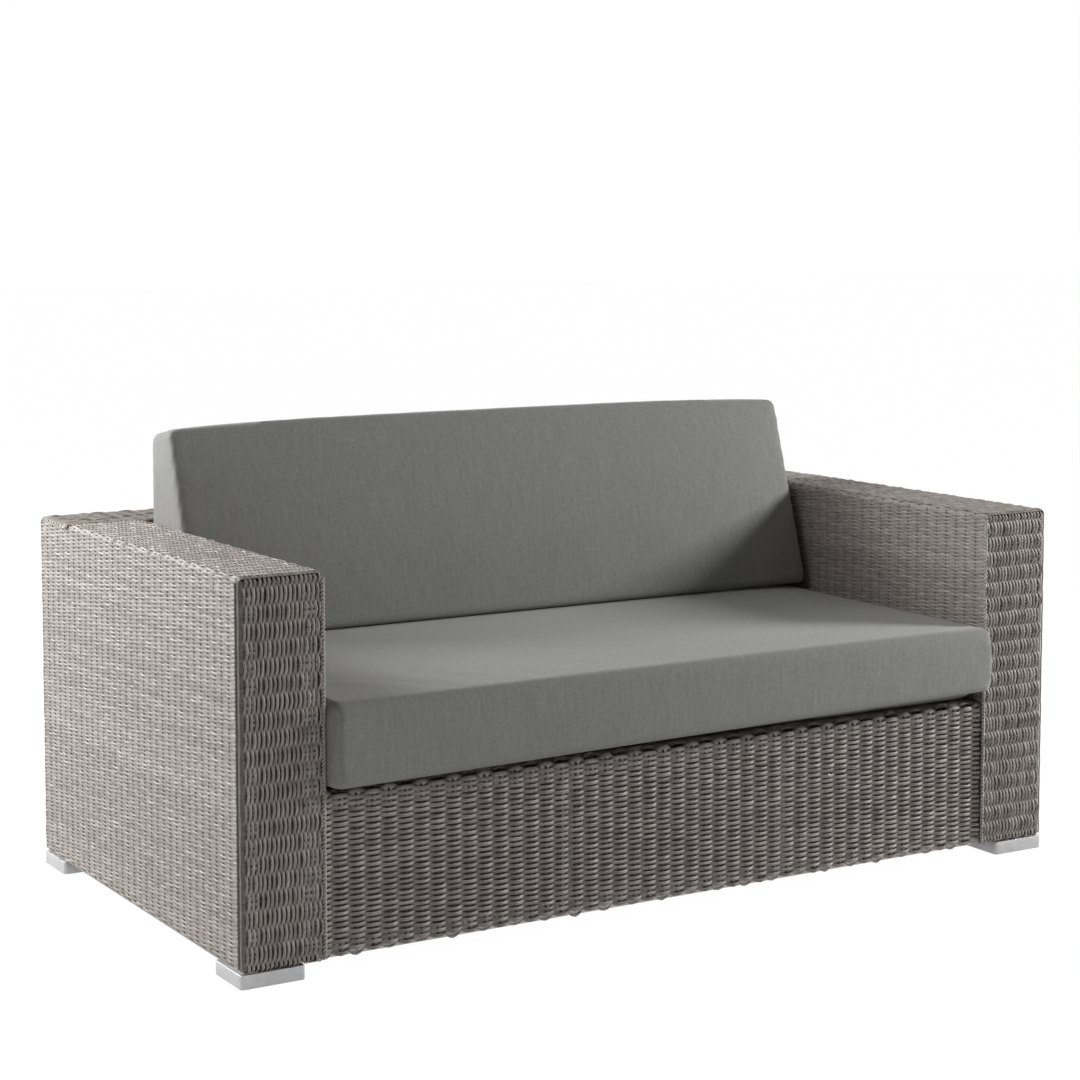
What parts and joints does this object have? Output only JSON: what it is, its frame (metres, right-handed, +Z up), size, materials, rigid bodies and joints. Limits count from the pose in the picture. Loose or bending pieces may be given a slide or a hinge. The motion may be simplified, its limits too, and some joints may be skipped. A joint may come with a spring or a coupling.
{
  "type": "rattan garden sofa",
  "caption": "Woven garden sofa with block arms and back, flat metal feet, a long seat cushion and a wedge-shaped back cushion",
  "frame": {"origin": "on the floor, under the middle of the whole outline", "axes": "+Z up, the front faces -Y, +X runs to the right of someone who looks at the front"},
  "size_m": [1.64, 0.8999, 0.8215],
  "materials": {
    "cane": "greyed round cane, woven fine, matt with a slight sheen",
    "cushion_fabric": "grey heather woven fabric over foam",
    "satin_metal": "satin brushed",
    "frame_tube": "mill finish, welded",
    "plastic": "moulded, matt",
    "steel": "zinc plated"
  },
  "bodies": {
    "body": {"back_inner_weave": "cane", "back_left_front_post": "frame_tube", "back_left_rear_post": "frame_tube", "back_lower_ladder": "frame_tube", "back_rear_weave": "cane", "back_right_front_post": "frame_tube", "back_right_rear_post": "frame_tube", "back_top_weave": "cane", "back_upper_ladder": "frame_tube", "foot_front_left": "satin_metal", "foot_front_right": "satin_metal", "foot_glide_front_left": "plastic", "foot_glide_front_right": "plastic", "foot_glide_rear_left": "plastic", "foot_glide_rear_right": "plastic", "foot_rear_left": "satin_metal", "foot_rear_right": "satin_metal", "foot_screw_front_left": "steel", "foot_screw_front_right": "steel", "foot_screw_rear_left": "steel", "foot_screw_rear_right": "steel", "left_arm_front_weave": "cane", "left_arm_inner_weave": "cane", "left_arm_top_weave": "cane", "left_front_inner_post": "frame_tube", "left_front_outer_post": "frame_tube", "left_lower_ladder": "frame_tube", "left_middle_inner_post": "frame_tube", "left_middle_outer_post": "frame_tube", "left_rear_inner_post": "frame_tube", "left_rear_outer_post": "frame_tube", "left_side_weave": "cane", "left_upper_ladder": "frame_tube", "right_arm_front_weave": "cane", "right_arm_inner_weave": "cane", "right_arm_top_weave": "cane", "right_front_inner_post": "frame_tube", "right_front_outer_post": "frame_tube", "right_lower_ladder": "frame_tube", "right_middle_inner_post": "frame_tube", "right_middle_outer_post": "frame_tube", "right_rear_inner_post": "frame_tube", "right_rear_outer_post": "frame_tube", "right_side_weave": "cane", "right_upper_ladder": "frame_tube", "seat_cross_rail_1": "frame_tube", "seat_cross_rail_2": "frame_tube", "seat_cross_rail_3": "frame_tube", "seat_deck_weave": "cane", "seat_front_rail": "frame_tube", "seat_front_weave": "cane", "seat_left_rail": "frame_tube", "seat_left_strut": "frame_tube", "seat_lower_front_rail": "frame_tube", "seat_rear_rail": "frame_tube", "seat_right_rail": "frame_tube", "seat_right_strut": "frame_tube"},
    "seat_cushion": {"seat_cushion": "cushion_fabric"},
    "back_cushion": {"back_cushion": "cushion_fabric"}
  },
  "joints": [
    {"name": "seat_cushion_lift", "type": "slide", "parent": "body", "child": "seat_cushion", "axis": [0, 0, 1], "range_m": [0, 0.4]},
    {"name": "back_cushion_lift", "type": "slide", "parent": "seat_cushion", "child": "back_cushion", "axis": [0, 0, 1], "range_m": [0, 0.4]}
  ]
}
